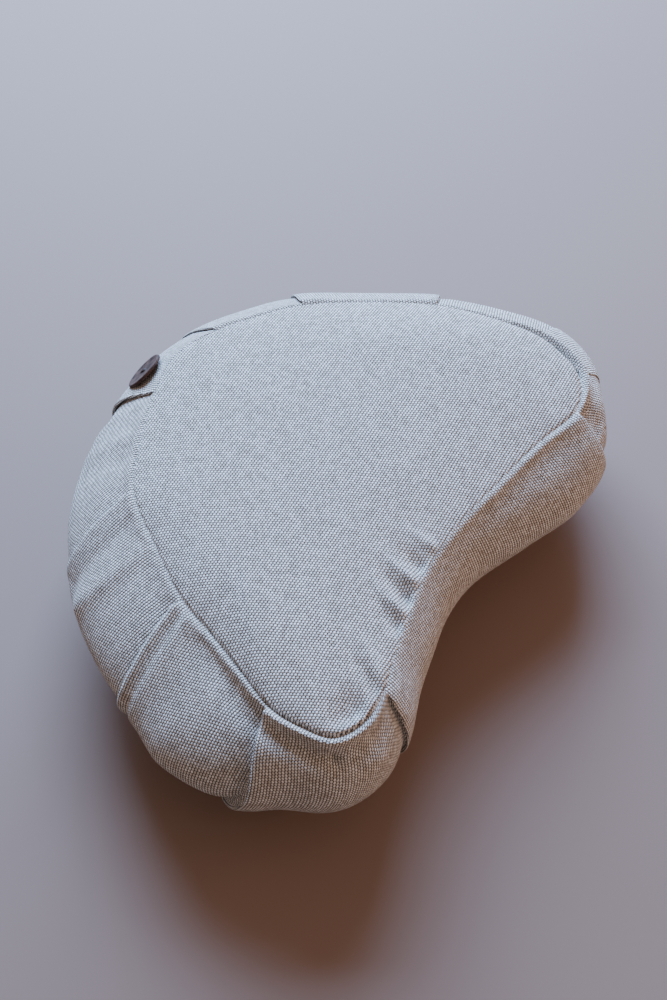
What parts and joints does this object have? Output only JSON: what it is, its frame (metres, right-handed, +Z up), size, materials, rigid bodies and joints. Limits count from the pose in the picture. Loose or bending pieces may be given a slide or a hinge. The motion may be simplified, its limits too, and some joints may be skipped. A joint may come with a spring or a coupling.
{
  "type": "crescent meditation cushion",
  "caption": "Filled crescent floor cushion with a pleated side, a closing flap and a round button, lying on its base.",
  "frame": {"origin": "centre of the footprint, on the surface that the cushion rests on", "axes": "+X along the crescent from tip to tip, +Y towards its rounded back where the flap and the button are, +Z up through the top panel"},
  "size_m": [0.449, 0.3252, 0.12],
  "materials": {
    "linen_cloth": "natural light grey linen canvas, matte, coarse ribbed plain weave",
    "button_shell": "turned dark brown coconut shell, satin",
    "sewing_thread": "brown twisted cotton, matte"
  },
  "bodies": {
    "root": {"cushion": "linen_cloth", "closing_flap": "linen_cloth", "button": "button_shell", "button_thread": "sewing_thread"}
  },
  "joints": []
}
